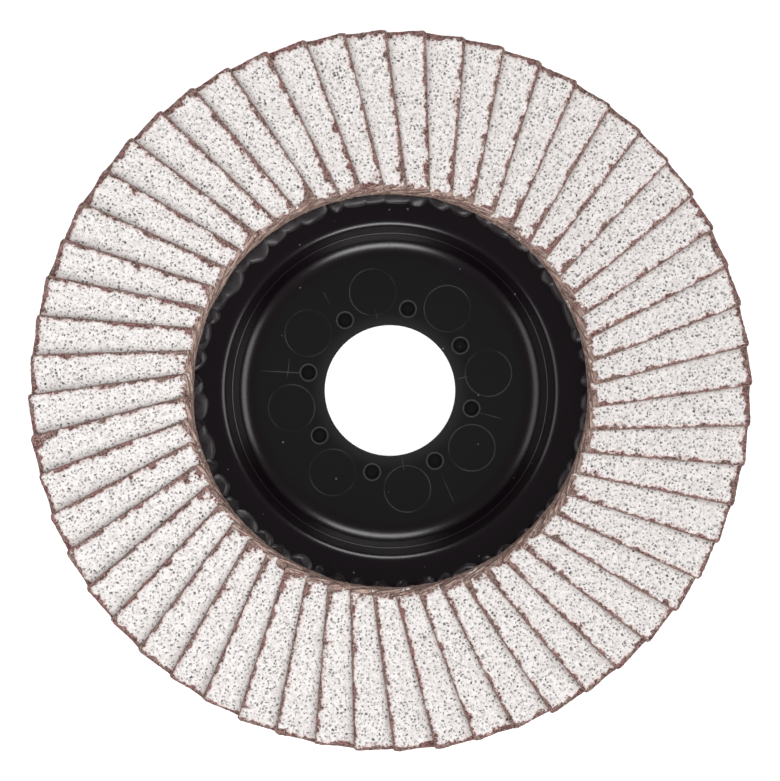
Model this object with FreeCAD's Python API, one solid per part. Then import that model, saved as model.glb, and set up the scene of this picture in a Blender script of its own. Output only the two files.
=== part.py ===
import FreeCAD, Part
import math
import os

# Flap disc of the 125 mm class for an angle grinder, seen with its working side up.
# A moulded plastic plate with a depressed centre carries a ring of rectangular flaps of
# coated abrasive cloth. The flaps lean on each other like shingles. A bed of hard adhesive
# holds their lower edges on the plate, and squeezes out in lobes along their inner ends.
# Frame: millimetres, +Z towards the work. The origin is the centre of the bore at the back
# face of the hub, which seats on the machine's flange.

# Moulded backing plate
bore_diameter = 22.23
hub_thickness = 2.6
recess_floor_radius = 25.1
recess_depth = 5.1
crease_height = 2.9
lower_wall_run = 1.6
upper_wall_run = 1.6
wall_thickness = 2.2
flange_thickness = 2.0
floor_fillet = 4.2
mouth_fillet = 1.8
back_chamfer = 0.7
rim_chamfer = 0.4

# Marks that the mould leaves on the hub floor
mark_count = 8
gate_circle_radius = 14.2
gate_radius = 1.05
gate_depth = 1.3
gate_first_angle = 32.6
ejector_circle_radius = 17.0
ejector_radius = 3.95
ejector_depth = 0.12
ejector_first_angle = 10.0

# Abrasive flaps
flap_count = 56
flap_width = 16.0
flap_setback = 5.1
flap_overhang = 8.5
flap_first_angle = 1.5
cloth_thickness = 0.6
coat_thickness = 0.4
coat_margin = 0.3
flap_spacing = 0.05
flap_droop = 1.0

# Adhesive bed, and the lobes that squeeze out of it, one for each flap
bed_thickness = 0.6
adhesive_rise = 0.8
adhesive_width = 16.6
adhesive_setback = 2.5
lobe_root = 0.1
lobe_reach = 1.1
lobe_swell = 0.5
lobe_swell_angle = 200.0
lobe_slope = 0.7
points_per_lobe = 6

# Sizes that follow from those above
bore_radius = bore_diameter / 2
crease_radius = recess_floor_radius + lower_wall_run
recess_mouth_radius = crease_radius + upper_wall_run
flap_inner_radius = recess_mouth_radius + flap_setback
adhesive_outer_radius = flap_inner_radius + adhesive_width
plate_radius = adhesive_outer_radius + adhesive_setback
disc_radius = plate_radius + flap_overhang
flange_front = hub_thickness + recess_depth
pitch_angle = 360.0 / flap_count
flap_thickness = cloth_thickness + coat_thickness
inner_pitch = flap_inner_radius * math.sin(math.radians(pitch_angle))
flap_tilt = math.degrees(math.asin((flap_thickness + flap_spacing) / inner_pitch))
flap_length = math.sqrt(disc_radius ** 2 - (flap_width / 2) ** 2) - flap_inner_radius
low_edge_height = flange_front + bed_thickness
lobe_lag = math.degrees(math.atan2((flap_width - inner_pitch) / 2, flap_inner_radius))
lobe_first_angle = flap_first_angle - lobe_lag
axis_z = FreeCAD.Vector(0, 0, 1)


def turned(corners):
    """The solid that a closed outline of (radius, height) corners sweeps about the Z axis."""
    points = [FreeCAD.Vector(radius, 0, height) for radius, height in corners]
    face = Part.Face(Part.makePolygon(points + points[:1]))
    return face.revolve(FreeCAD.Vector(0, 0, 0), axis_z, 360)


def circle_at(solid, radius, height):
    """The circular edge of a turned solid that has this radius and height."""
    def miss(edge):
        return abs(edge.Curve.Radius - radius) + abs(edge.Curve.Center.z - height)
    circles = [edge for edge in solid.Edges if isinstance(edge.Curve, Part.Circle)]
    return min(circles, key=miss)


def on_circle(radius, angle, height):
    """The point at a radius, an angle in degrees and a height."""
    turn = math.radians(angle)
    return FreeCAD.Vector(radius * math.cos(turn), radius * math.sin(turn), height)


def back_wall_radius(height):
    """Where the back of the conical wall is at a height, one wall thickness from its front."""
    run = recess_mouth_radius - recess_floor_radius
    slope = math.atan2(recess_depth, run)
    front = recess_floor_radius + (height - hub_thickness) / math.tan(slope)
    return front + wall_thickness / math.sin(slope)


def hub_marks():
    """The blind gate wells and the shallow circles of the ejector pins."""
    marks = []
    for i in range(mark_count):
        step = 360.0 * i / mark_count
        gate = on_circle(gate_circle_radius, gate_first_angle + step, hub_thickness)
        marks.append(Part.makeCylinder(gate_radius, gate_depth, gate, -axis_z))
        ejector = on_circle(ejector_circle_radius, ejector_first_angle + step, hub_thickness)
        marks.append(Part.makeCylinder(ejector_radius, ejector_depth, ejector, -axis_z))
    return marks


def backing_plate():
    """The plate: a flat hub, a conical wall with a crease, and a flat flange."""
    flange_back = flange_front - flange_thickness
    hub_back_radius = back_wall_radius(0)
    wall_back_radius = back_wall_radius(flange_back)
    plate = turned([
        (bore_radius, 0),
        (hub_back_radius, 0),
        (wall_back_radius, flange_back),
        (plate_radius, flange_back),
        (plate_radius, flange_front),
        (recess_mouth_radius, flange_front),
        (crease_radius, hub_thickness + crease_height),
        (recess_floor_radius, hub_thickness),
        (bore_radius, hub_thickness),
    ])
    floor_corner = circle_at(plate, recess_floor_radius, hub_thickness)
    plate = plate.makeFillet(floor_fillet, [floor_corner])
    mouth_corner = circle_at(plate, recess_mouth_radius, flange_front)
    plate = plate.makeFillet(mouth_fillet, [mouth_corner])
    back_corners = [
        circle_at(plate, hub_back_radius, 0),
        circle_at(plate, wall_back_radius, flange_back),
    ]
    plate = plate.makeChamfer(back_chamfer, back_corners)
    plate = plate.makeChamfer(rim_chamfer, [circle_at(plate, plate_radius, flange_back)])
    return plate.cut(hub_marks())


def flap_blank():
    """One flap lying flat: cloth below, and a coat whose margins are broken back above."""
    corner = FreeCAD.Vector(0, -flap_width / 2, 0)
    sheet = Part.makeBox(flap_length, flap_width, flap_thickness, corner)
    top = max(sheet.Faces, key=lambda face: face.CenterOfMass.z)
    return sheet.makeChamfer(coat_thickness, coat_margin, top.Edges)


def flap(blank, index):
    """A flap in its place: it leans by the tilt, and its low edge rests on the bed."""
    droop = FreeCAD.Rotation(FreeCAD.Vector(0, 1, 0), flap_droop)
    lean = FreeCAD.Rotation(FreeCAD.Vector(1, 0, 0), -flap_tilt)
    rise = flap_width / 2 * math.sin(math.radians(flap_tilt))
    foot = FreeCAD.Vector(flap_inner_radius, 0, low_edge_height + rise)
    seat = FreeCAD.Placement(foot, droop.multiply(lean))
    turn = FreeCAD.Rotation(axis_z, flap_first_angle + index * pitch_angle)
    piece = blank.copy()
    piece.Placement = FreeCAD.Placement(FreeCAD.Vector(0, 0, 0), turn).multiply(seat)
    return piece


def squeezed_outline(height, pulled_back):
    """A closed lobed wire at a height: the inner edge of the adhesive, swollen on one side."""
    points = []
    for i in range(flap_count * points_per_lobe):
        angle = lobe_first_angle + pitch_angle * i / points_per_lobe
        lobe = (1 + math.cos(2 * math.pi * i / points_per_lobe)) / 2
        swell = math.cos(math.radians(angle - lobe_swell_angle))
        squeezed = (lobe_reach + lobe_swell * swell) * lobe
        radius = flap_inner_radius - lobe_root - squeezed + pulled_back
        points.append(on_circle(radius, angle, height))
    return Part.makePolygon(points + points[:1])


def adhesive(flaps):
    """The bed, with lobes squeezed out at its inside, cut to saw teeth by the flaps it holds."""
    height = bed_thickness + adhesive_rise
    top = flange_front + height
    angles = [flap_first_angle + (i + 0.5) * pitch_angle for i in range(flap_count)]
    corners = [on_circle(adhesive_outer_radius, angle, flange_front) for angle in angles]
    rim = Part.makePolygon(corners + corners[:1])
    disc = Part.Face(rim).extrude(axis_z * height)
    outlines = [squeezed_outline(flange_front, 0), squeezed_outline(top, lobe_slope)]
    opening = Part.makeLoft(outlines, True, True)
    return disc.cut([opening] + flaps)


def main():
    os.makedirs("parts", exist_ok=True)
    blank = flap_blank()
    flaps = [flap(blank, i) for i in range(flap_count)]
    nodes = {"backing_plate": backing_plate(), "adhesive": adhesive(flaps)}
    for i, piece in enumerate(flaps):
        nodes[f"flap_{i + 1:02d}"] = piece
    for name, shape in nodes.items():
        shape.exportStep(f"parts/{name}.step")
    for name in ("backing_plate", "adhesive", "flap_01"):
        shape = nodes[name]
        print(name, len(shape.Solids), "solid,", round(shape.Volume), "mm3, valid", shape.isValid())
    print("over the flaps", 2 * disc_radius, "mm, flap tilt", round(flap_tilt, 2), "degrees")


main()
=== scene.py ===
# %% [markdown]
# A flap disc is a grinding disc made of many pieces of abrasive cloth, laid round a black
# plastic plate like shingles. This lesson dresses the imported model of one. The model gives
# every solid its place, and nothing here changes a size: each new piece stands for the
# solid that it covers. The model is loaded first.

import math
import random

import bmesh
import bpy
from mathutils import Matrix, Vector, noise


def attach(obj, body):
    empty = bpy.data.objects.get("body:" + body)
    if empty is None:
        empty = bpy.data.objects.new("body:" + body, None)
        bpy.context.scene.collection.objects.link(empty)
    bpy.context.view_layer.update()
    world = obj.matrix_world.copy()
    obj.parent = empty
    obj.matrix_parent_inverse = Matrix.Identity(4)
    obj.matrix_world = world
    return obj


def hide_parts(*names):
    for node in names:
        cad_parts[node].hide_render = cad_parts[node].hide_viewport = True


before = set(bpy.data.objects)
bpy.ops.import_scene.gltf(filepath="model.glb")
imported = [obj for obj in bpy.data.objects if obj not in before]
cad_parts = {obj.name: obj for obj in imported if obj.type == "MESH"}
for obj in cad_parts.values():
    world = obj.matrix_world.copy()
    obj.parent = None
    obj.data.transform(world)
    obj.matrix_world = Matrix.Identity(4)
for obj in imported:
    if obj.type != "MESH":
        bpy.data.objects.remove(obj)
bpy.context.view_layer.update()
mm = 0.001


def in_mm(length):
    """A length in millimetres, rounded for print."""
    return round(length / mm, 2)


print("solids:", len(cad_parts))

# %% [markdown]
# The sizes of the solids come first, in metres. A detailed piece has to lie exactly where
# its solid lies, so it needs the radius at which a flap starts, how many flaps there are
# and how high the plate's flange is. They could be read from the meshes, but a short list
# of sizes is plainer.

# %% Sizes that the pieces share
bore_radius = 11.115 * mm
hub_thickness = 2.6 * mm
flange_front = 7.7 * mm
plate_radius = 52.5 * mm

flap_count = 56
flap_width = 16.0 * mm
flap_inner_radius = 33.4 * mm
disc_radius = 61.0 * mm
flap_first_angle = 1.5
cloth_thickness = 0.6 * mm
coat_thickness = 0.4 * mm
low_edge_height = 8.3 * mm
pitch_angle = 360.0 / flap_count
print("one flap every", round(pitch_angle, 3), "degrees")

# %% [markdown]
# The flaps lean on each other like roof tiles. Each one lies on the coat of its neighbour, so
# the lean follows from the thickness of a flap and from the distance between neighbours at
# their inner ends. The length follows from the disc's radius over the flap's two corners.

# %% How a flap leans and how long it is
flap_spacing = 0.05 * mm
flap_droop = 1.0
inner_pitch = flap_inner_radius * math.sin(math.radians(pitch_angle))
flap_tilt = math.asin((cloth_thickness + coat_thickness + flap_spacing) / inner_pitch)
flap_length = math.sqrt(disc_radius ** 2 - (flap_width / 2) ** 2) - flap_inner_radius
print("a flap is", in_mm(flap_length), "mm long")
print("it leans by", round(math.degrees(flap_tilt), 1), "degrees")

# %% [markdown]
# Finishes are built from shader nodes. Writing out each Math node hides the idea behind it,
# so a Signal stands for a number that changes over a surface, and arithmetic on Signals
# adds the nodes. Its step is a soft threshold, which most of the patterns below are made of.


# %% A number that changes over a surface
class Signal:
    """A socket that gives one number or colour. Arithmetic on it adds Math nodes."""

    def __init__(self, finish, socket):
        self.finish = finish
        self.socket = socket

    def math(self, operation, *others):
        values = dict(enumerate((self,) + others))
        return self.finish.node("ShaderNodeMath", {"operation": operation}, values)

    def __add__(self, other):
        return self.math("ADD", other)

    def __sub__(self, other):
        return self.math("SUBTRACT", other)

    def __rsub__(self, other):
        return (self * -1.0) + other

    def __mul__(self, other):
        return self.math("MULTIPLY", other)

    def __pow__(self, other):
        return self.math("POWER", other)

    def __abs__(self):
        return self.math("ABSOLUTE")

    __radd__ = __add__
    __rmul__ = __mul__

    def step(self, low, high):
        """0 below low, 1 above high, and a soft step between them."""
        settings = {"interpolation_type": "SMOOTHSTEP"}
        return self.finish.node("ShaderNodeMapRange", settings, {0: self, 1: low, 2: high})

    def larger(self, other):
        return self.math("MAXIMUM", other)


# %% [markdown]
# A Finish is a material with one Principled surface. Every other node comes from its method
# node, which takes a type, its settings and its inputs, so a new kind of node needs no new
# code. The short methods after it only give names to the nodes that this disc uses most.


# %% A finish and its nodes
class Finish:
    """A material with one Principled surface. Numbers that never change are set on it directly."""

    def __init__(self, name, **constants):
        self.material = bpy.data.materials.new(name)
        self.material.use_nodes = True
        self.tree = self.material.node_tree
        self.surface = self.tree.nodes["Principled BSDF"]
        self.feed(**constants)

    def plug(self, socket, value):
        if isinstance(value, Signal):
            self.tree.links.new(value.socket, socket)
        else:
            socket.default_value = value

    def node(self, kind, settings, inputs, output=0):
        made = self.tree.nodes.new(kind)
        for key, value in settings.items():
            setattr(made, key, value)
        for key, value in inputs.items():
            self.plug(made.inputs[key], value)
        return Signal(self, made.outputs[output])

    def feed(self, **signals):
        for socket, value in signals.items():
            self.plug(self.surface.inputs[socket.replace("_", " ")], value)

    def mix(self, factor, first, second):
        """One colour turning into another, by a factor from 0 to 1."""
        inputs = {0: factor, 6: first, 7: second}
        return self.node("ShaderNodeMix", {"data_type": "RGBA"}, inputs, 2)

    def noise(self, place, scale, detail=2.0, roughness=0.5, output=0):
        inputs = {"Vector": place, "Scale": scale, "Detail": detail, "Roughness": roughness}
        return self.node("ShaderNodeTexNoise", {}, inputs, output)

    def cells(self, place, scale, output):
        """Flat cells: the distance to the middle of each, or a random colour for each."""
        settings, inputs = {"voronoi_dimensions": "2D"}, {"Vector": place, "Scale": scale}
        return self.node("ShaderNodeTexVoronoi", settings, inputs, output)

    def vector(self, operation, *inputs):
        return self.node("ShaderNodeVectorMath", {"operation": operation}, dict(enumerate(inputs)))

    def part(self, vector, axis):
        return self.node("ShaderNodeSeparateXYZ", {}, {0: vector}, axis)

    def object_place(self):
        """Where a point of the surface is on the object, in metres."""
        return self.node("ShaderNodeTexCoord", {}, {}, "Object")

    def attribute(self, name, output="Fac"):
        return self.node("ShaderNodeAttribute", {"attribute_name": name}, {}, output)

    def bump(self, height, distance, strength):
        inputs = {"Height": height, "Distance": distance, "Strength": strength}
        return self.node("ShaderNodeBump", {}, inputs)


print("finishes can now be written as sums")

# %% [markdown]
# The abrasive is an off-white coat on brown cloth, and where the cloth was cut the coat has
# broken away in small teeth. The mesh knows how deep each point is inside the coat, in mm,
# and carries that as an attribute. Noise added to it before the threshold gives the teeth.
# Painting the line by hand would be lost on 56 flaps, and a finer mesh would be heavy.

# %% The abrasive cloth: where the coat breaks away
cloth = Finish("abrasive_cloth", Specular_IOR_Level=0.25)
on_cloth = cloth.attribute("on_cloth", "Vector")
coat_depth = cloth.attribute("coat")
teeth = cloth.noise(on_cloth, 4.0, 3.0, 0.65) - 0.5
coated = (coat_depth + teeth).step(-0.05, 0.05)
near_edge = 1 - (coat_depth + teeth * 0.6).step(0.05, 0.5)
print("the coat's line has", len(cloth.tree.nodes), "nodes so far")

# %% [markdown]
# The coat holds two sizes of grey grain, both irregular. A grain is the middle of a flat
# cell, as large as a random number of that cell says. Round grains would look printed, so
# the place on the cloth is bent by a swirl of noise before the cells are laid out.

# %% The abrasive cloth: the grains in the coat
swirl = cloth.noise(on_cloth, 2.3, 1.0, 0.5, "Color")
bent = cloth.vector("MULTIPLY_ADD", swirl, (0.75, 0.75, 0.0), on_cloth)


def grains(scale, smallest, spread, soft):
    """Spots of random size, one to a cell, and a random shade that is the same all over a cell."""
    chance = cloth.cells(bent, scale, "Color")
    size = cloth.part(chance, 0) * spread + smallest
    spots = (size - cloth.cells(bent, scale, "Distance")).step(-soft, soft)
    return spots, cloth.part(chance, 1)


grain_scale, dust_scale = 1.65, 3.1
grain, grain_shade = grains(grain_scale, smallest=0.11, spread=0.23, soft=0.10)
dust, dust_shade = grains(dust_scale, smallest=-0.05, spread=0.36, soft=0.08)
print("coarse grains lie about", round(1 / grain_scale, 2), "mm apart")
print("fine grains lie about", round(1 / dust_scale, 2), "mm apart")

# %% [markdown]
# The binder between the grains isn't one white: it is cloudy, warm white in some places and
# grey in others. The grains go over it, the fine ones pale and the coarse ones nearly
# black. Towards the broken edge a little of the brown resin shows through the thin coat.

# %% The abrasive cloth: the colour of the coat
grey_binder, white_binder = (0.745, 0.70, 0.68, 1), (0.95, 0.91, 0.895, 1)
fine_grain_grey, coarse_grain_black = (0.30, 0.29, 0.29, 1), (0.06, 0.062, 0.06, 1)
resin_through_coat = (0.66, 0.45, 0.42, 1)
cloud = cloth.noise(on_cloth, 1.1, 4.0, 0.7).step(0.32, 0.66)
binder = cloth.mix(cloud, grey_binder, white_binder)
dusted = cloth.mix(dust * dust_shade * 0.5, binder, fine_grain_grey)
grained = cloth.mix(grain * (grain_shade * 0.6 + 0.4), dusted, coarse_grain_black)
coat_colour = cloth.mix(near_edge * 0.45, grained, resin_through_coat)
print("the coat's colour takes", len(cloth.tree.nodes), "nodes with the grains")

# %% [markdown]
# Bare resin is a dull red brown that turns to tan in broad patches. It has darker holes, and
# where the coat was knocked off a little pale dust is left on it.

# %% The abrasive cloth: bare resin
red_resin, tan_resin = (0.285, 0.125, 0.118, 1), (0.26, 0.175, 0.142, 1)
hole_brown, pale_dust = (0.060, 0.029, 0.029, 1), (0.70, 0.55, 0.52, 1)
resin_tint = cloth.noise(on_cloth, 0.5).step(0.35, 0.65)
resin = cloth.mix(resin_tint, red_resin, tan_resin)
holes = cloth.noise(on_cloth, 2.6, 3.0).step(0.44, 0.58)
pitted = cloth.mix(holes * 0.9, resin, hole_brown)
dust_left = cloth.noise(on_cloth, 4.5, 2.0).step(0.55, 0.72)
dusty = cloth.mix(dust_left * 0.55, pitted, pale_dust)
print("with the resin the finish has", len(cloth.tree.nodes), "nodes")

# %% [markdown]
# At the inner end of each flap and on every cut face the threads of the cloth come out of
# the resin: tan lines that run across the flap, with dark gaps between them. Stretching a
# noise about ten times longer one way makes such lines.

# %% The abrasive cloth: threads
thread_scale = (6.0, 0.55, 9.0)
gap_brown, end_thread = (0.13, 0.065, 0.055, 1), (0.61, 0.46, 0.39, 1)
cut_thread = (0.50, 0.38, 0.31, 1)
stretch = {"Vector": on_cloth, "Scale": thread_scale}
thread_place = cloth.node("ShaderNodeMapping", {"vector_type": "POINT"}, stretch)
thread = cloth.noise(thread_place, 1.0, 4.0, 0.7).step(0.46, 0.58)
at_end, at_cut = cloth.attribute("end"), cloth.attribute("cut")
between = cloth.mix(at_end * (1 - thread) * 0.45, dusty, gap_brown)
ended = cloth.mix(at_end * thread * 0.85, between, end_thread)
bare_colour = cloth.mix(at_cut * thread * 0.8, ended, cut_thread)
print("a thread is about", round(1 / thread_scale[0], 2), "mm wide")

# %% [markdown]
# The surface is fed last. Bare cloth and coat are mixed by the ragged line, and the same
# patterns make the relief: the coat stands up, the grains are small dips, and everything is
# rough, as abrasive is. The relief is only a few hundredths of a millimetre high.

# %% The abrasive cloth: put together
relief = cloth.noise(on_cloth, 3.2, 4.0, 0.6) + coated * 0.6 - grain * 0.3
cloth.feed(
    Base_Color=cloth.mix(coated, bare_colour, coat_colour),
    Roughness=0.62 + coated * 0.2 - grain * 0.2,
    Normal=cloth.bump(relief, 0.06 * mm, 0.8),
)
print("the cloth's finish has", len(cloth.tree.nodes), "nodes")

# %% [markdown]
# The coat ends a little inside the cut edges, and the line wanders: it has lumps of three
# sizes, and here and there a chip is missing. The strip without a coat is wider near the
# inner end, where the flaps are pressed together hardest. The depth inside the coat is
# measured from all four sides, and the smallest one counts.

# %% How deep a point is inside the coat
margin_side = 0.26
margin_outer = 0.62
margin_inner = 0.80
pressed_length = 7.0
pressed_margin, pressed_lumps = 1.9, 0.75


def wander(place, scale, shift=0.0):
    """Smooth noise on the cloth, from about -1 to 1."""
    return noise.noise(place * scale + Vector((shift, shift, 0.0)))


def coat_at(u, v, seed):
    """How far a point is inside the ragged line, in mm. u runs along the flap, v across."""
    place = Vector((u, v, seed * 7.31))
    pressed = max(0.0, 1.0 - u / pressed_length)
    side = v + flap_width / mm / 2 - margin_side * (1.0 + pressed_margin * pressed)
    inner = u - margin_inner
    outer = flap_length / mm - u - margin_outer
    lumps = wander(place, 2.4) * 0.42 + wander(place, 1.0) * 0.34 + wander(place, 0.4, 2.0) * 0.50
    lumps *= 1.0 + pressed_lumps * pressed
    chips = max(0.0, wander(place, 0.55, 9.0) - 0.30) * 1.9
    return min(side, inner, outer, flap_width / mm / 2 - v) + lumps - chips


print("in the middle of the strip the coat's depth is", round(coat_at(13, -4, 1), 2), "mm")
print("on the cut edge it is", round(coat_at(13, -8, 1), 2), "mm")

# %% [markdown]
# Only a strip of each flap shows, about 4 mm wide at its inner end and 7 mm at the rim, and
# the next flap covers the rest. So the flat sheet is a grid with fine steps over the strip
# and a few coarse ones under cover. Every point gets four layers that the finish reads: its
# place on the cloth, its depth in the coat, and how much it belongs to a cut face or to the
# inner end.

# %% A flat sheet of cloth
steps_along = 132
steps_across = 38
shown_steps = 34
shown_width = 7.6 * mm


def spread_across(share):
    """A place across the flap: fine steps over the strip that shows, coarse ones after it."""
    step = share * steps_across
    start = -flap_width / 2
    if step <= shown_steps:
        return start + shown_width * step / shown_steps
    covered_width, covered_steps = flap_width - shown_width, steps_across - shown_steps
    return start + shown_width + covered_width * (step - shown_steps) / covered_steps


def flat_sheet():
    sheet = bmesh.new()
    bmesh.ops.create_grid(sheet, x_segments=steps_along, y_segments=steps_across, size=0.5)
    for layer in ("coat", "cut", "end"):
        sheet.verts.layers.float.new(layer)
    sheet.verts.layers.float_vector.new("on_cloth")
    for vert in sheet.verts:
        vert.co = ((vert.co.x + 0.5) * flap_length, spread_across(vert.co.y + 0.5), cloth_thickness)
    return sheet


print("fine steps of", in_mm(shown_width / shown_steps), "mm across the strip")
print("steps of", in_mm(flap_length / steps_along), "mm along it")

# %% [markdown]
# The coat is real thickness, so it catches light along its broken line. Each point rises by
# most of the coat's thickness where it is inside the line, and the whole sheet gets a fine
# unevenness. The rim of the sheet is frayed, and the two corners that show are worn.

# %% Raise the coat and fray the rim
corner_wear, corner_reach = 0.32 * mm, 0.9 * mm
coat_share = 0.92
end_reach, end_fade = 1.15, 0.5


def fitted(value):
    return min(1.0, max(0.0, value))


def worn_corner(u, v):
    """How far a point near a shown corner is pulled in along the flap."""
    from_side = fitted((v + flap_width / 2) / corner_reach)
    at_tip = fitted((u - flap_length) / mm + 1.0) - fitted(1.0 - u / mm)
    return at_tip * corner_wear * (1.0 - from_side) ** 2


def inner_end(u):
    """1 at the inner end of a flap, and 0 from a little way along it."""
    return fitted((end_reach - u / mm) / end_fade)


def raise_coat(sheet, seed):
    coat, end = (sheet.verts.layers.float[name] for name in ("coat", "end"))
    for vert in sheet.verts:
        u, v = vert.co.x, vert.co.y
        spot = Vector((u / mm, v / mm, seed * 5.0))
        depth = coat_at(u / mm, v / mm, seed)
        vert.co.z += noise.noise(spot * 3.0) * 0.035 * mm
        vert.co.x -= worn_corner(u, v)
        if vert.is_boundary:
            depth = min(0.02, depth)
            vert.co.x += wander(spot, 1.7, 9.0) * 0.08 * mm
            vert.co.y += wander(spot, 1.3) * 0.10 * mm + wander(spot, 5.0) * 0.05 * mm
        vert.co.z += fitted(0.5 + depth / 0.3) * coat_thickness * coat_share
        vert[coat] = min(0.8, max(-0.5, depth))
        vert[end] = inner_end(u)


print("a shown corner is worn by up to", in_mm(corner_wear), "mm")

# %% [markdown]
# A cut edge of cloth isn't a clean wall: it flares and its threads stand out a little. The
# rim is pulled down in two steps, and each step is pushed outwards by a random amount at
# the two ends of the flap. One face closes the underside, so the flap is a closed solid.

# %% Pull down the cut sides and close the flap
flares = (0.08 * mm, 0.14 * mm)
flared_zone = 0.3 * mm


def pull_down_sides(sheet, seed):
    coat, cut, end = (sheet.verts.layers.float[name] for name in ("coat", "cut", "end"))
    rim = [edge for edge in sheet.edges if edge.is_boundary]
    for flare in flares:
        pulled = bmesh.ops.extrude_edge_only(sheet, edges=rim)["geom"]
        rim = [item for item in pulled if isinstance(item, bmesh.types.BMEdge) and item.is_boundary]
        for vert in {vert for edge in rim for vert in edge.verts}:
            vert.co.z -= cloth_thickness / len(flares)
            u = vert.co.x
            spot = Vector((u / mm, vert.co.y / mm, vert.co.z / mm * 9.0 + seed * 5.0))
            fringe = flare * (1.0 + wander(spot, 2.0))
            if u < flared_zone:
                vert.co.x -= fringe * 0.8
            elif u > flap_length - flared_zone:
                vert.co.x += fringe * 0.4
            vert[coat], vert[cut] = -0.5, 1.0
            vert[end] = inner_end(u)
    bmesh.ops.contextual_create(sheet, geom=rim)
    bmesh.ops.recalc_face_normals(sheet, faces=sheet.faces)


print("the cut sides are", in_mm(cloth_thickness), "mm high")

# %% [markdown]
# A flap's place is a chain of turns and shifts, read from right to left: a small random yaw
# from the maker's hand, the lean, the droop towards the rim, the foot on the adhesive, a
# small random shift and the turn round the disc. One matrix holds the chain, and it is
# applied to the mesh itself, so that the finished object still stands at the origin.

# %% Where a flap goes
def flap_seat(index, chance):
    yaw = Matrix.Rotation(math.radians(chance.uniform(-0.25, 0.25)), 4, "Z")
    shift = (chance.uniform(-0.16, 0.12) * mm, 0, chance.uniform(-0.02, 0.03) * mm)
    uneven = Matrix.Translation(shift)
    lean = Matrix.Rotation(-flap_tilt, 4, "X")
    droop = Matrix.Rotation(math.radians(flap_droop), 4, "Y")
    rise = flap_width / 2 * math.sin(flap_tilt)
    foot = Matrix.Translation((flap_inner_radius, 0, low_edge_height + rise))
    turn = Matrix.Rotation(math.radians(flap_first_angle + index * pitch_angle), 4, "Z")
    return turn @ uneven @ foot @ droop @ lean @ yaw


print("a flap's low edge lies", in_mm(low_edge_height), "mm above the back of the hub")

# %% [markdown]
# Every piece ends the same way: its mesh becomes an object, gets a finish and rides on the
# disc. Sharp corners are marked on the mesh and everything else is shaded smooth, so light
# runs on over the steps of a grid but stops at a corner.

# %% From a mesh to a piece
def smooth_by_angle(build, limit):
    for face in build.faces:
        face.smooth = True
    for edge in build.edges:
        if len(edge.link_faces) == 2 and edge.calc_face_angle() > limit:
            edge.smooth = False


def new_piece(name, build, finish):
    mesh = bpy.data.meshes.new(name)
    build.to_mesh(mesh)
    build.free()
    mesh.materials.append(finish.material)
    piece = bpy.data.objects.new(name, mesh)
    bpy.context.scene.collection.objects.link(piece)
    return piece


def put_on_disc(piece):
    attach(piece, "root")


# %% [markdown]
# No two flaps of a real disc are alike, so all 56 are made one by one, each with its own
# seed for the coat, the fraying and its place on the roll of cloth. Copies of one flap
# would be lighter, but the eye finds a repeat at once in a ring. A flap is a thin slab,
# and the work that shows is in its coat and edges.

# %% The ring of flaps
first_seed, roll_side, sheet_distance = 100, 500, 3.0


def make_flap(index):
    chance = random.Random(first_seed + index)
    along, across_roll = chance.uniform(0, roll_side), chance.uniform(0, roll_side)
    on_roll = Vector((along, across_roll, (index + 1) * sheet_distance))
    sheet = flat_sheet()
    raise_coat(sheet, index + 1)
    pull_down_sides(sheet, index + 1)
    place_layer = sheet.verts.layers.float_vector["on_cloth"]
    for vert in sheet.verts:
        vert[place_layer] = Vector(vert.co) / mm + on_roll
    smooth_by_angle(sheet, limit=0.9)
    bmesh.ops.transform(sheet, matrix=flap_seat(index, chance), verts=sheet.verts)
    piece = new_piece(f"cloth_flap_{index + 1:02d}", sheet, cloth)
    put_on_disc(piece)
    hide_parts(f"flap_{index + 1:02d}")
    return piece


flaps = [make_flap(index) for index in range(flap_count)]
print("flaps made:", len(flaps), "with", len(flaps[0].data.polygons), "faces each")

# %% [markdown]
# The plate is moulded in glossy black plastic. Its finish needs to know where a point is:
# its radius, its angle, and whether it is on the hub floor or on the wall. Marks that
# repeat eight times are drawn once, at an angle that is folded into one eighth of a turn.

# %% The black plastic: places on the plate
plastic = Finish("black_plastic", IOR=1.5)
place = plastic.object_place()
across, up, height = (plastic.part(place, axis) for axis in range(3))
radius = (across * across + up * up) ** 0.5
angle = up.math("ARCTAN2", across)
above_back = height.step(hub_thickness - 0.2 * mm, hub_thickness - 0.1 * mm)
above_hub = height.step(hub_thickness + 0.1 * mm, hub_thickness + 0.2 * mm)
on_hub = above_back * (1 - above_hub)
mark_count = 8


def from_mark(first_angle, mark_radius):
    """The distance to the nearest mark on a circle, the first of them at first_angle."""
    share = 2 * math.pi / mark_count
    turned = angle - math.radians(first_angle) + share / 2
    folded = turned.math("FLOORED_MODULO", share) - share / 2
    along = radius * folded.math("COSINE") - mark_radius
    aside = radius * folded.math("SINE")
    return (along * along + aside * aside) ** 0.5


print("the plate's finish starts with", len(plastic.tree.nodes), "nodes")
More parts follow.
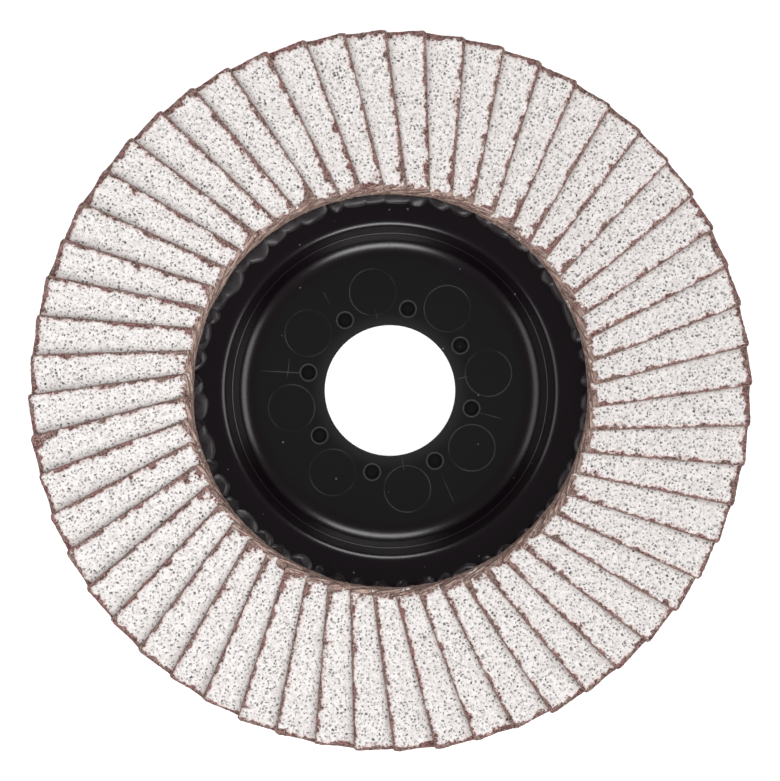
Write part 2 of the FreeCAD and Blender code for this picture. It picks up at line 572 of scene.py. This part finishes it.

# %% [markdown]
# The mould leaves two sets of marks on the hub. Thin circles where its pins pushed the plate
# out are real marks, painted lighter as the highlight along their edge, and a thin ring round
# each well is a painted highlight on the rim of its dish. The real circles are faint and
# broken, so a noise fades them in and out along the line.

# %% The black plastic: marks of the mould and painted highlights
pin_first_angle, pin_circle, pin_radius = 10.0, 17.0 * mm, 3.95 * mm
well_first_angle, well_circle, well_highlight_radius = 32.6, 14.2 * mm, 1.42 * mm
# The pin circles are real marks, painted lighter as the highlight along their edge.
pin_edge = abs(from_mark(pin_first_angle, pin_circle) - pin_radius)
pin_mark_and_highlight = 1 - pin_edge.step(0.02 * mm, 0.15 * mm)
faded = plastic.noise(place, 170.0, 2.0).step(0.42, 0.66)
# A painted highlight: a thin pale ring round each well, on the rim of its dish.
well_edge = abs(from_mark(well_first_angle, well_circle) - well_highlight_radius)
painted_well_highlight = 1 - well_edge.step(0.03 * mm, 0.16 * mm)
mould_marks_and_highlights = (pin_mark_and_highlight * (faded * 0.55 + 0.08)).larger(painted_well_highlight * 0.85)
print("wells:", mark_count, "and as many pin circles of", in_mm(2 * pin_radius), "mm")

# %% [markdown]
# Handling has left a few hair scratches, and the plastic has short pale lines beside the
# wells. A scratch is a band around a straight line that fades towards its end. The list
# below is in mm from the middle of the disc, and a smeary noise keeps the lines uneven.

# %% The black plastic: scratches
def scratch(start, end, width=0.05):
    run = Vector(end) - Vector(start)
    length = run.length
    run.normalize()
    from_x, from_y = across * (1 / mm) - start[0], up * (1 / mm) - start[1]
    along = from_x * run.x + from_y * run.y
    aside = abs(from_x * run.y - from_y * run.x)
    line = 1 - aside.step(width * 0.5, width * 1.7)
    return line * along.step(-0.1, 0.2) * (1 - along.step(length * 0.7, length))


scratches = [
    ((-17.1, 5.5), (-17.5, 1.9)), ((15.3, -3.8), (19.4, -4.9)), ((8.8, -14.4), (11.1, -19.6)),
    ((3.3, 15.2), (4.1, 18.8)), ((-11.4, 16.8), (-9.9, 14.3)), ((11.6, 2.0), (13.4, 2.4)),
    ((-11.6, -2.1), (-13.6, -2.4)), ((2.1, -11.7), (2.4, -13.8)), ((-2.2, 12.2), (-2.5, 14.0)),
]
scratched = scratch((-15.3, 3.0), (-22.9, 3.4), 0.07)
for start, end in scratches:
    scratched = scratched.larger(scratch(start, end))
smeared = plastic.noise(place, 130.0, 3.0).step(0.4, 0.7)
print("scratches:", len(scratches) + 1)

# %% [markdown]
# Now the plastic as a whole. It is black with a hint of red, and paler round the bore.
# Specks of dust lie on it. The gloss isn't even: the hub floor is a little dull,
# and the wall and the flange are smooth enough to mirror the dark parts around them.

# %% The black plastic: put together
wall_black, floor_black = (0.0027, 0.0002, 0.0019, 1), (0.0028, 0.0022, 0.0027, 1)
near_bore_black, mark_and_highlight_grey = (0.018, 0.017, 0.017, 1), (0.10, 0.10, 0.105, 1)
speck_scale = 330.0
speck_chance = plastic.part(plastic.cells(place, speck_scale, "Color"), 0)
speck_size = speck_chance.step(0.86, 1.0) * 0.06
specks = (speck_size - plastic.cells(place, speck_scale, "Distance")).step(-0.012, 0.02)
# The marks hold real scratches and dust, and the painted highlights of the pin circles and the
# wells.
marks_and_highlights = (mould_marks_and_highlights.larger(scratched * smeared) * on_hub * 0.42).larger(specks * 0.8)
# The plastic is made paler towards the bore, fading out about 14 mm from the middle.
paler_near_bore = 1 - radius.step(10.5 * mm, 13.8 * mm)
on_floor = 1 - radius.step(22.0 * mm, 24.0 * mm)
haze = plastic.noise(place, 60.0, 5.0, 0.65)
moulded_black = plastic.mix(on_floor, wall_black, floor_black)
black = plastic.mix(paler_near_bore * 0.7, moulded_black, near_bore_black)
plastic.feed(
    Base_Color=plastic.mix(marks_and_highlights, black, mark_and_highlight_grey),
    Roughness=0.21 + haze * 0.08 + marks_and_highlights * 0.3 + on_floor * 0.10,
)
print("the plastic's finish has", len(plastic.tree.nodes), "nodes")

# %% [markdown]
# Only smooth reflections show the shape of a black glossy plate, so its profile decides the
# looks. The wall of the recess is steep below and less steep above, and a narrow ledge between
# the two gives the faint line in the middle of the wall. Round corners are where the
# highlights sit, and their width follows from the radius and from how far the wall turns, as
# the reach from the corner to where the rounding starts.

# %% The plate's profile
floor_corner, floor_round = 24.83 * mm, 3.7 * mm
ledge_radius, ledge_height = 26.7 * mm, 5.5 * mm
mouth_corner, mouth_round = 28.3 * mm, 1.8 * mm
ledge_run, ledge_rise = 0.24 * mm, 0.172 * mm
wall_thickness, flange_thickness = 2.2 * mm, 2.0 * mm
lower_slope = math.atan2(ledge_height - hub_thickness, ledge_radius - floor_corner)
upper_slope = math.atan2(flange_front - ledge_height, mouth_corner - ledge_radius)
floor_reach = floor_round * math.tan(lower_slope / 2)
mouth_reach = mouth_round * math.tan(upper_slope / 2)
wall_slope = math.atan2(flange_front - hub_thickness, mouth_corner - floor_corner)
wall_back = wall_thickness / math.sin(wall_slope)
flange_back = flange_front - flange_thickness
hub_back_radius = floor_corner - hub_thickness / math.tan(wall_slope) + wall_back
flange_back_radius = floor_corner + (flange_back - hub_thickness) / math.tan(wall_slope) + wall_back
print("below its ledge the wall leans about", round(math.degrees(lower_slope)), "degrees")
print("above it the wall leans about", round(math.degrees(upper_slope)), "degrees")

# %% [markdown]
# The profile is a closed chain of corners. Beside a corner that will be rounded, on the flat
# part next to it, stands one more point just outside the reach of the rounding, so that the
# shading of the round doesn't leak over the flat part.

# %% The corners, and how far each is rounded
beside, beside_back = 0.06 * mm, 0.9 * mm
back_round, ledge_round = 0.7 * mm, 0.09 * mm
ledge_top = (ledge_radius + ledge_run / 2, ledge_height + ledge_rise / 2)
ledge_foot = (ledge_radius - ledge_run / 2, ledge_height - ledge_rise / 2)
plate_profile = [
    (bore_radius, 0),
    (hub_back_radius - beside_back, 0),
    (hub_back_radius, 0),
    (flange_back_radius, flange_back),
    (flange_back_radius + beside_back, flange_back),
    (plate_radius - 0.6 * mm, flange_back),
    (plate_radius, flange_back),
    (plate_radius, flange_front),
    (plate_radius - 0.5 * mm, flange_front),
    (mouth_corner + mouth_reach + beside, flange_front),
    (mouth_corner, flange_front),
    ledge_top,
    ledge_foot,
    (floor_corner, hub_thickness),
    (floor_corner - floor_reach - beside, hub_thickness),
    (bore_radius + 0.2 * mm, hub_thickness),
    (bore_radius, hub_thickness),
]
rounded_corners = [
    (floor_corner, hub_thickness, floor_reach),
    (*ledge_top, ledge_round),
    (*ledge_foot, ledge_round),
    (mouth_corner, flange_front, mouth_reach),
    (hub_back_radius, 0, back_round),
    (flange_back_radius, flange_back, back_round),
    (plate_radius, flange_back, 0.4 * mm),
    (plate_radius, flange_front, 0.15 * mm),
    (bore_radius, hub_thickness, 0.12 * mm),
]
print("the profile has", len(plate_profile), "corners, rounded:", len(rounded_corners))

# %% [markdown]
# A turned part is its profile spun round an axis. The spin merges its last ring with its
# first one, and the normals are worked out after that, because a spin can turn a shape
# inside out. Each corner is then a ring of edges, and a bevel rounds it with many segments.

# %% Turn a profile and round its corners
plate_steps = 288
same_place, wide_reach = 0.01 * mm, 0.6 * mm


def turn_profile(profile, steps):
    """A closed profile of (radius, height) corners, swept round the Z axis."""
    build = bmesh.new()
    corners = [build.verts.new((corner_radius, 0, level)) for corner_radius, level in profile]
    loop = [build.edges.new((corners[i - 1], corners[i])) for i in range(len(corners))]
    bmesh.ops.spin(
        build, geom=corners + loop, cent=(0, 0, 0), axis=(0, 0, 1),
        angle=2 * math.pi, steps=steps, use_merge=True,
    )
    bmesh.ops.remove_doubles(build, verts=build.verts, dist=0.001 * mm)
    bmesh.ops.recalc_face_normals(build, faces=build.faces)
    return build


def round_corner(build, corner_radius, level, reach):
    """Rounds the ring of edges at a corner. A wide rounding gets more segments."""
    def at_corner(vert):
        off_radius = abs(vert.co.xy.length - corner_radius)
        return abs(vert.co.z - level) < same_place and off_radius < same_place
    ring = [edge for edge in build.edges if all(at_corner(vert) for vert in edge.verts)]
    segments = 14 if reach > wide_reach else 5
    bmesh.ops.bevel(
        build, geom=ring, offset=reach, offset_type="OFFSET", affect="EDGES",
        segments=segments, profile=0.5, material=-1,
    )


turned_plate = turn_profile(plate_profile, plate_steps)
for corner in rounded_corners:
    round_corner(turned_plate, *corner)
smooth_by_angle(turned_plate, limit=math.radians(40))
plate = new_piece("plate", turned_plate, plastic)
print("the turned plate has", len(plate.data.polygons), "faces")

# %% [markdown]
# The hub has eight small wells, each in a shallow dish. They are turned too, as plugs, and
# cut from the plate with a Boolean. Modelling them into the spun mesh would mean remeshing
# the floor by hand. The result is kept as a plain mesh, and the plugs are removed.

# %% The wells in the hub
near_axis = 0.0001 * mm
well_depth, dish_radius, plug_top = 1.3 * mm, 1.52 * mm, 0.3 * mm
well_steps = 40
well_profile = [
    (near_axis, hub_thickness - well_depth),
    (0.95 * mm, hub_thickness - well_depth),
    (1.02 * mm, hub_thickness - 0.20 * mm),
    (1.12 * mm, hub_thickness - 0.06 * mm),
    (1.45 * mm, hub_thickness - 0.05 * mm),
    (dish_radius, hub_thickness + 0.02 * mm),
    (dish_radius, hub_thickness + plug_top),
    (near_axis, hub_thickness + plug_top),
]


def gather(parts):
    """Several meshes as one, each of them left closed."""
    whole = bmesh.new()
    for part in parts:
        loose = bpy.data.meshes.new("loose")
        part.to_mesh(loose)
        part.free()
        whole.from_mesh(loose)
        bpy.data.meshes.remove(loose)
    return whole


def well_plug(index):
    plug = turn_profile(well_profile, well_steps)
    turn = Matrix.Rotation(math.radians(well_first_angle + 360.0 / mark_count * index), 4, "Z")
    out = Matrix.Translation((well_circle, 0, 0))
    bmesh.ops.transform(plug, matrix=turn @ out, verts=plug.verts)
    return plug


plugs = gather([well_plug(index) for index in range(mark_count)])
plugs = new_piece("well_plugs", plugs, plastic)
cut = plate.modifiers.new("wells", "BOOLEAN")
cut.operation, cut.solver, cut.object = "DIFFERENCE", "EXACT", plugs
depsgraph = bpy.context.evaluated_depsgraph_get()
cut_plate = bpy.data.meshes.new_from_object(plate.evaluated_get(depsgraph))
plate.modifiers.clear()
plate.data = cut_plate
bpy.data.objects.remove(plugs)
put_on_disc(plate)
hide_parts("backing_plate")
print("the plate with its wells has", len(plate.data.polygons), "faces")

# %% [markdown]
# The adhesive is a hard black resin. It is glossy like the plate but not moulded, so its
# surface is wavy and its gloss varies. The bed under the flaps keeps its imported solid, which
# has the right saw teeth, and only gets this finish.

# %% The adhesive's finish
glue = Finish("hard_adhesive", IOR=1.5)
glue_place = glue.object_place()
glue_black, glue_grey = (0.013, 0.0085, 0.011, 1), (0.027, 0.021, 0.024, 1)
uneven = glue.noise(glue_place, 420.0, 3.0)
waves = glue.noise(glue_place, 900.0, 3.0, 0.6)
glue.feed(
    Base_Color=glue.mix(uneven, glue_black, glue_grey),
    Roughness=0.28 + uneven * 0.2,
    Normal=glue.bump(waves, 0.06 * mm, 0.5),
)
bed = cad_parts["adhesive"].data
bed.materials.clear()
bed.materials.append(glue.material)
print("the adhesive's finish has", len(glue.tree.nodes), "nodes")

# %% [markdown]
# When the flaps were pressed into the soft adhesive, it swelled out under their inner ends
# in rounded lumps, no two of them alike. There is more of it on the left of the disc, and at
# the top it ran together into long lumps. A lump starts as a ball. It is stretched along the
# ring, dented by noise, and cut off flat where it lies on the plate.

# %% One lobe of adhesive
lobe_root = 33.9 * mm
lobe_height = 1.2 * mm
lobe_half_length = 2.15 * mm
lobe_lag = 10.2
mean_reach, extra_reach, most_at = 1.15, 0.45, math.radians(155.0)


def squeezed(turn):
    """How far the adhesive comes out from under the flaps at an angle."""
    return (mean_reach + extra_reach * math.cos(turn - most_at)) * mm


def make_lobe(index, chance):
    middle = flap_first_angle - lobe_lag + index * pitch_angle
    turn = math.radians(middle + chance.uniform(-1.3, 1.3))
    depth = squeezed(turn) * chance.uniform(0.9, 1.6) + 0.75 * mm
    half_length = lobe_half_length * chance.uniform(0.62, 1.75) * (1.0 + 0.25 * math.sin(turn))
    lobe = bmesh.new()
    bmesh.ops.create_icosphere(lobe, subdivisions=4, radius=1.0)
    for vert in lobe.verts:
        spot = Vector(vert.co)
        dents = 0.08 * wander(spot, 1.7, index * 3.7)
        swell = 1.0 + dents + 0.018 * wander(spot, 5.0, index * 1.9)
        vert.co = spot * Vector((depth, half_length, lobe_height)) * swell
    foot = Matrix.Translation((lobe_root, 0, flange_front - 0.1 * mm))
    seat = Matrix.Rotation(turn, 4, "Z") @ foot
    bmesh.ops.transform(lobe, matrix=seat, verts=lobe.verts)
    bmesh.ops.bisect_plane(
        lobe, geom=lobe.verts[:] + lobe.edges[:] + lobe.faces[:],
        plane_co=(0, 0, flange_front + 0.02 * mm), plane_no=(0, 0, -1), clear_outer=True,
    )
    rim = [edge for edge in lobe.edges if edge.is_boundary]
    bmesh.ops.contextual_create(lobe, geom=rim)
    bmesh.ops.recalc_face_normals(lobe, faces=lobe.faces)
    return lobe


print("at the left the adhesive comes out by about", in_mm(squeezed(math.pi)), "mm")
print("at the right it comes out by about", in_mm(squeezed(0.0)), "mm")

# %% [markdown]
# There is one lobe for each flap, and they run into each other. They stay separate closed
# shapes in one mesh, which costs nothing in a render, while joining them would only hide
# the creases between them that the real ones show.

# %% The ring of lobes
chance = random.Random(7)
lobes = gather([make_lobe(index, chance) for index in range(flap_count)])
smooth_by_angle(lobes, limit=math.radians(50))
lobes = new_piece("squeezed_lobes", lobes, glue)
put_on_disc(lobes)
print("the lobes have", len(lobes.data.polygons), "faces")

# %% [markdown]
# The disc lies on a pale floor that has no edge in the picture, as in a photograph for a
# catalogue. The floor glows a little by itself, so that it stays white beside the disc.
# Reflections don't see it, because the wall of the recess would mirror it through the bore.

# %% The floor
pale = Finish("pale_floor", Base_Color=(0.9, 0.9, 0.9, 1), Roughness=0.9, Specular_IOR_Level=0.0)
pale.feed(Emission_Color=(1, 1, 1, 1), Emission_Strength=0.6)
floor_half_width, floor_gap = 4.0, 0.1 * mm
floor_sheet = bmesh.new()
bmesh.ops.create_grid(floor_sheet, x_segments=1, y_segments=1, size=floor_half_width)
floor = new_piece("floor", floor_sheet, pale)
floor.location.z = -floor_gap
floor.visible_glossy = False
print("the floor is", round(floor.dimensions.x, 1), "m wide")

# %% [markdown]
# Two materials need two kinds of light. Black gloss shows only what it mirrors, so four low
# panels stand round the disc, with gaps between them that leave the wall of the recess
# black, and only reflections see them. The pale cloth is lit by one large soft light
# overhead, which reflections don't see, or the flat plastic would mirror it as a grey veil.
# The panels at the sides are lower and dimmer, and make the wider highlights there.

# %% The lights
panel_distance = 1.0


def soft_light(name, direction, distance, width, height, brightness):
    """A soft rectangle of light at a distance from the disc, facing its middle."""
    light = bpy.data.lights.new(name, "AREA")
    light.shape, light.size, light.size_y = "RECTANGLE", width, height
    light.energy = brightness * math.pi * width * height
    lamp = bpy.data.objects.new(name, light)
    lamp.location = direction * distance
    lamp.rotation_euler = direction.to_track_quat("Z", "Y").to_euler()
    lamp.visible_camera = False
    bpy.context.scene.collection.objects.link(lamp)
    return lamp


def panel(name, azimuth, elevation, spread, height, brightness):
    """A low panel, with its angles in degrees, that only reflections see."""
    width = 2 * math.tan(math.radians(spread / 2)) * math.cos(math.radians(elevation))
    turn = Matrix.Rotation(math.radians(azimuth), 4, "Z")
    direction = turn @ Matrix.Rotation(-math.radians(elevation), 4, "Y") @ Vector((1, 0, 0))
    lamp = soft_light(name, direction, panel_distance, width, height, brightness)
    lamp.visible_diffuse = False


panel("panel_near", azimuth=275, elevation=29, spread=38, height=0.26, brightness=9.6)
panel("panel_far", azimuth=84, elevation=29, spread=40, height=0.26, brightness=7.8)
panel("panel_right", azimuth=357, elevation=26, spread=46, height=0.36, brightness=3.6)
panel("panel_left", azimuth=183, elevation=26, spread=58, height=0.36, brightness=2.1)
overhead_direction = Vector((0.1, -0.25, 1.0)).normalized()
overhead_distance, overhead_side, overhead_brightness = 1.6, 4.4, 1.32
overhead = soft_light(
    "overhead", overhead_direction, overhead_distance,
    overhead_side, overhead_side, overhead_brightness,
)
overhead.visible_glossy = False
print("lights:", len(bpy.data.lights))

# %% [markdown]
# The room itself gives an even, weak light, which keeps the black parts from going fully
# black. The plain view transform shows the colours as they are, without a film curve.

# %% The room
world = bpy.data.worlds.new("room")
bpy.context.scene.world = world
world.use_nodes = True
room_strength = 0.185
room = world.node_tree.nodes["Background"].inputs
room["Color"].default_value = (1, 1, 1, 1)
room["Strength"].default_value = room_strength
bpy.context.scene.view_settings.view_transform = "Standard"
print("the room's light has strength", room_strength)

# %% [markdown]
# The photograph looks straight down. The camera hangs a metre above the disc, and its lens
# follows from the width that has to be seen at the height of the coat.

# %% The camera
camera_height = 1.0
coat_height = 13.0 * mm
shown_across = 131.5 * mm
camera = bpy.data.objects.new("camera", bpy.data.cameras.new("camera"))
camera.data.lens = camera.data.sensor_width * (camera_height - coat_height) / shown_across
camera.data.clip_start = 0.01
camera.location = (0, 0, camera_height)
bpy.context.scene.collection.objects.link(camera)
bpy.context.scene.camera = camera
print("the lens is", round(camera.data.lens), "mm")
